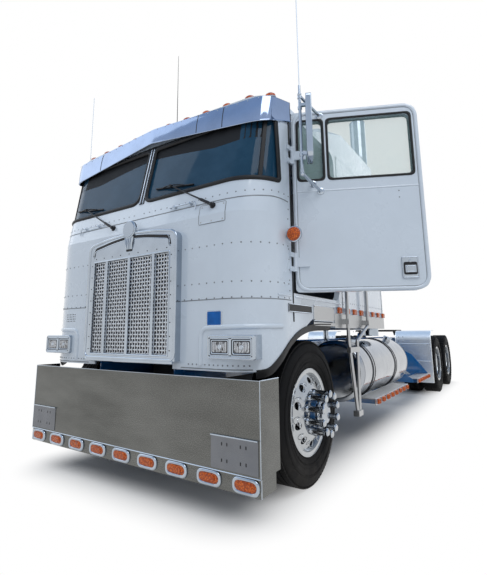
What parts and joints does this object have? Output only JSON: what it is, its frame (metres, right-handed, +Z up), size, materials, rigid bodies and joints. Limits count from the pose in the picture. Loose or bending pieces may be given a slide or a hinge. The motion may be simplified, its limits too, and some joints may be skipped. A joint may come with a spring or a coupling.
{
  "type": "cab-over road tractor unit",
  "caption": "Cab-over road tractor with raised sleeper roof, tandem drive axles with twin wheels, tilting cab, hinged doors, steering and a fifth wheel.",
  "frame": {"origin": "axis of the trailer's king pin where it meets the top face of the fifth wheel plate", "axes": "+Z up along the king pin, -Y the way the truck faces, +X to the truck's left"},
  "size_m": [3.6187, 8.928, 4.12],
  "materials": {
    "blue_paint": "gloss",
    "white_paint": "gloss",
    "black_metal": "satin",
    "cast": "matte",
    "chrome": "polished",
    "polished": "polished",
    "stainless": "satin",
    "amber": "gloss",
    "tinted_glass": "polished",
    "black_rubber": "matte",
    "black_plastic": "matte",
    "grey_fabric": "woven",
    "tyre": "matte"
  },
  "bodies": {
    "chassis": {"frame_rails": "blue_paint", "bumper": "chrome", "front_axle": "blue_paint", "drive_axles": "blue_paint", "engine_block": "cast", "radiator": "black_metal", "fuel_tanks": "polished", "running_boards": "stainless", "chassis_lamps": "amber", "quarter_fenders": "stainless", "exhaust_stacks": "chrome"},
    "fifth_wheel": {"fifth_wheel_plate": "black_metal"},
    "cab": {"cab_front": "white_paint", "cab_side_left": "white_paint", "cab_side_right": "white_paint", "cab_back": "white_paint", "cab_floor": "blue_paint", "cab_roof": "white_paint", "sun_visor": "chrome", "windshield": "tinted_glass", "grille_surround": "chrome", "grille_mesh": "stainless", "headlamps": "chrome", "cab_lamps": "amber", "side_trim": "stainless", "arch_lips": "black_rubber", "wipers_and_aerial": "black_plastic", "dashboard": "black_plastic", "seats_and_bunk": "grey_fabric"},
    "door_left": {"door_left": "white_paint", "door_glass_left": "tinted_glass", "door_fittings_left": "chrome"},
    "door_right": {"door_right": "white_paint", "door_glass_right": "tinted_glass", "door_fittings_right": "chrome"},
    "knuckle_left": {"knuckle_left": "cast"},
    "knuckle_right": {"knuckle_right": "cast"},
    "front_wheel_left": {"tyre_front_left": "tyre", "wheel_front_left": "polished"},
    "front_wheel_right": {"tyre_front_right": "tyre", "wheel_front_right": "polished"},
    "middle_wheels_left": {"tyres_middle_left": "tyre", "wheels_middle_left": "polished"},
    "middle_wheels_right": {"tyres_middle_right": "tyre", "wheels_middle_right": "polished"},
    "rear_wheels_left": {"tyres_rear_left": "tyre", "wheels_rear_left": "polished"},
    "rear_wheels_right": {"tyres_rear_right": "tyre", "wheels_rear_right": "polished"}
  },
  "joints": [
    {"name": "cab_tilt", "type": "hinge", "parent": "chassis", "child": "cab", "pos_m": [0, -6.96, -0.25], "axis": [1, 0, 0], "range_deg": [0, 60]},
    {"name": "door_left_swing", "type": "hinge", "parent": "cab", "child": "door_left", "pos_m": [1.221, -6.55, 0], "axis": [0, 0, 1], "range_deg": [-5.2, 64.8]},
    {"name": "door_right_swing", "type": "hinge", "parent": "cab", "child": "door_right", "pos_m": [-1.221, -6.55, 0], "axis": [0, 0, 1], "range_deg": [0, 70]},
    {"name": "steer_left", "type": "hinge", "parent": "chassis", "child": "knuckle_left", "pos_m": [0.86, -6.2, -0.66], "axis": [0, 0, 1], "range_deg": [-35, 35]},
    {"name": "steer_right", "type": "hinge", "parent": "chassis", "child": "knuckle_right", "pos_m": [-0.86, -6.2, -0.66], "axis": [0, 0, 1], "range_deg": [-35, 35]},
    {"name": "fifth_wheel_rock", "type": "hinge", "parent": "chassis", "child": "fifth_wheel", "pos_m": [0, 0, -0.088], "axis": [1, 0, 0], "range_deg": [-12, 12]},
    {"name": "spin_front_left", "type": "hinge", "parent": "knuckle_left", "child": "front_wheel_left", "pos_m": [1.014, -6.2, -0.66], "axis": [1, 0, 0], "continuous": true},
    {"name": "spin_front_right", "type": "hinge", "parent": "knuckle_right", "child": "front_wheel_right", "pos_m": [-1.014, -6.2, -0.66], "axis": [1, 0, 0], "continuous": true},
    {"name": "spin_middle_left", "type": "hinge", "parent": "chassis", "child": "middle_wheels_left", "pos_m": [0.915, -0.25, -0.66], "axis": [1, 0, 0], "continuous": true},
    {"name": "spin_middle_right", "type": "hinge", "parent": "chassis", "child": "middle_wheels_right", "pos_m": [-0.915, -0.25, -0.66], "axis": [1, 0, 0], "continuous": true},
    {"name": "spin_rear_left", "type": "hinge", "parent": "chassis", "child": "rear_wheels_left", "pos_m": [0.915, 1.07, -0.66], "axis": [1, 0, 0], "continuous": true},
    {"name": "spin_rear_right", "type": "hinge", "parent": "chassis", "child": "rear_wheels_right", "pos_m": [-0.915, 1.07, -0.66], "axis": [1, 0, 0], "continuous": true}
  ],
  "couplings": [
    {"joint": "steer_right", "follows": "steer_left", "ratio": 1}
  ]
}
